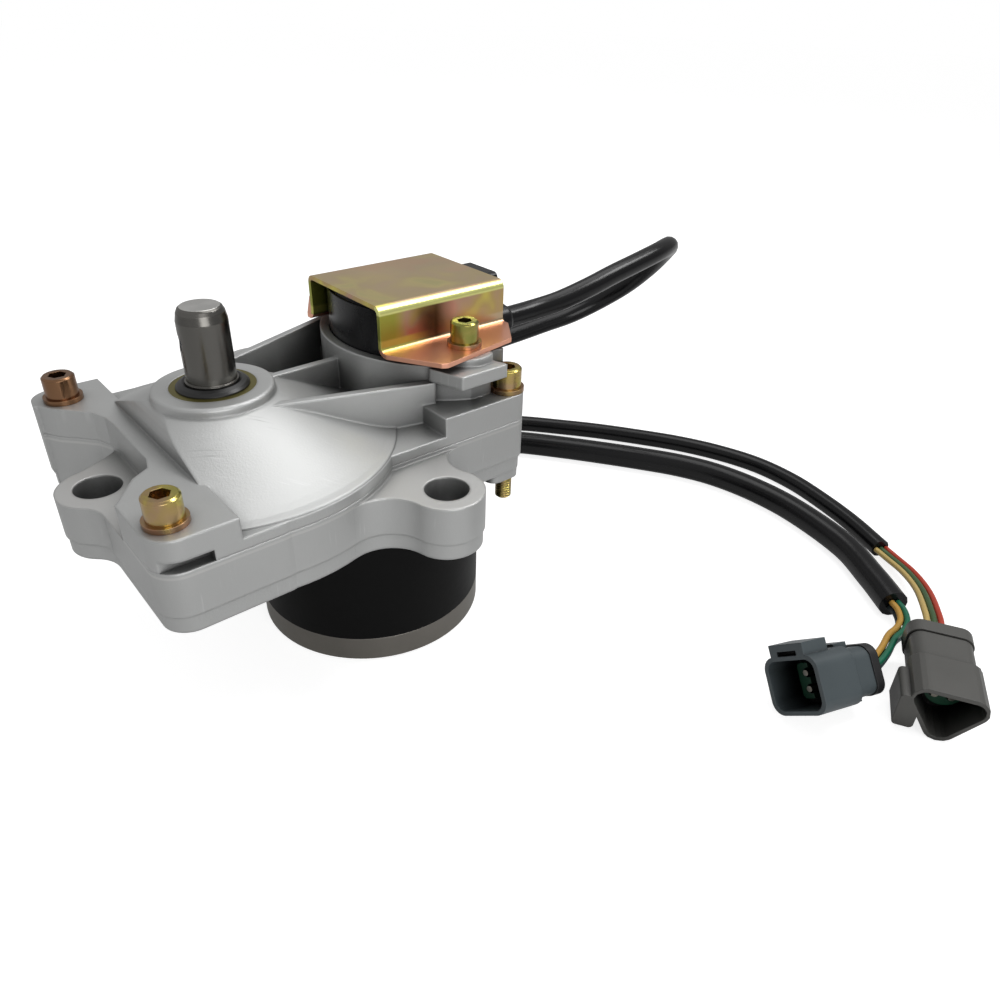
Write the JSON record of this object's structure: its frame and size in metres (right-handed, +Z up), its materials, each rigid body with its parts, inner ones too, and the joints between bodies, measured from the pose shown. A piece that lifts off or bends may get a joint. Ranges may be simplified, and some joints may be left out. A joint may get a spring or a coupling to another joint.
{
  "type": "engine governor actuator",
  "caption": "Engine governor actuator: a round stepping motor under a cast gearcase turns an upright output shaft, with an angle sensor under a folded bracket and two cables with plugs.",
  "frame": {"origin": "centre of the motor's flat end face, on the surface the part stands on", "axes": "+Z up along the motor and the output shaft; X along the gearcase's straight front wall, from the mounting lug at the shaft end towards the sensor"},
  "size_m": [0.301, 0.2793, 0.1203],
  "materials": {
    "cast_aluminium": "satin cast",
    "black_motor": "satin black",
    "end_bell": "machined",
    "yellow_zinc": "yellow passivated steel",
    "bracket_zinc": "yellow passivated sheet",
    "steel": "ground",
    "dark_steel": "dark",
    "seal_metal": "olive",
    "rubber": "matte",
    "core": "laminated",
    "copper": "enamelled wire",
    "sensor_plastic": "gloss",
    "gear_plastic": "moulded",
    "bronze": "sintered",
    "sleeve": "gloss",
    "leads": "coloured insulation",
    "plug_grey": "moulded",
    "plug_blue": "moulded",
    "plug_green": "moulded",
    "contact": "plated"
  },
  "bodies": {
    "housing": {"gear_case": "cast_aluminium", "gear_cover": "cast_aluminium", "cover_screws": "yellow_zinc", "cover_washers": "yellow_zinc", "shaft_bearing_outer_rings": "steel", "shaft_bearing_balls": "steel", "seal_case": "seal_metal", "seal_lip": "rubber", "motor_shell": "black_motor", "motor_end_bell": "end_bell", "motor_screws": "dark_steel", "motor_sealing_ring": "rubber", "stator_core": "core", "stator_coils": "copper", "motor_bearing_outer_rings": "steel", "motor_bearing_balls": "steel", "sensor_body": "sensor_plastic", "sensor_gasket": "rubber", "sensor_bush": "bronze", "sensor_bracket": "bracket_zinc", "bracket_screws": "yellow_zinc", "bracket_washers": "yellow_zinc", "sensor_cable_gland": "rubber", "motor_cable_gland": "rubber", "sensor_cable": "sleeve", "motor_cable": "sleeve", "sensor_leads": "leads", "motor_leads": "leads", "sensor_connector": "plug_grey", "sensor_connector_cap": "plug_grey", "sensor_connector_wedge": "plug_green", "sensor_connector_contacts": "contact", "motor_connector": "plug_blue", "motor_connector_boot": "rubber", "motor_connector_wedge": "plug_green", "motor_connector_contacts": "contact"},
    "output_shaft": {"output_shaft": "steel", "shaft_cross_pin": "dark_steel", "sector_gear": "steel", "sector_key": "steel", "shaft_bearing_inner_rings": "steel"},
    "motor_rotor": {"motor_rotor": "core", "motor_shaft": "steel", "motor_pinion": "steel", "motor_bearing_inner_rings": "steel"},
    "sensor_spindle": {"sensor_spindle": "steel", "sensor_gear": "gear_plastic"}
  },
  "joints": [
    {"name": "motor_spin", "type": "hinge", "parent": "housing", "child": "motor_rotor", "pos_m": [0, 0, 0.03], "axis": [0, 0, 1], "range_deg": [-250, 250]},
    {"name": "shaft_swing", "type": "hinge", "parent": "housing", "child": "output_shaft", "pos_m": [-0.04463, 0.01113, 0.07], "axis": [0, 0, 1], "range_deg": [-45, 45]},
    {"name": "sensor_turn", "type": "hinge", "parent": "housing", "child": "sensor_spindle", "pos_m": [0.02448, 0.00508, 0.08], "axis": [0, 0, 1], "range_deg": [-98, 98]}
  ],
  "couplings": [
    {"joint": "shaft_swing", "follows": "motor_spin", "ratio": -0.17949},
    {"joint": "sensor_turn", "follows": "motor_spin", "ratio": -0.38889}
  ]
}
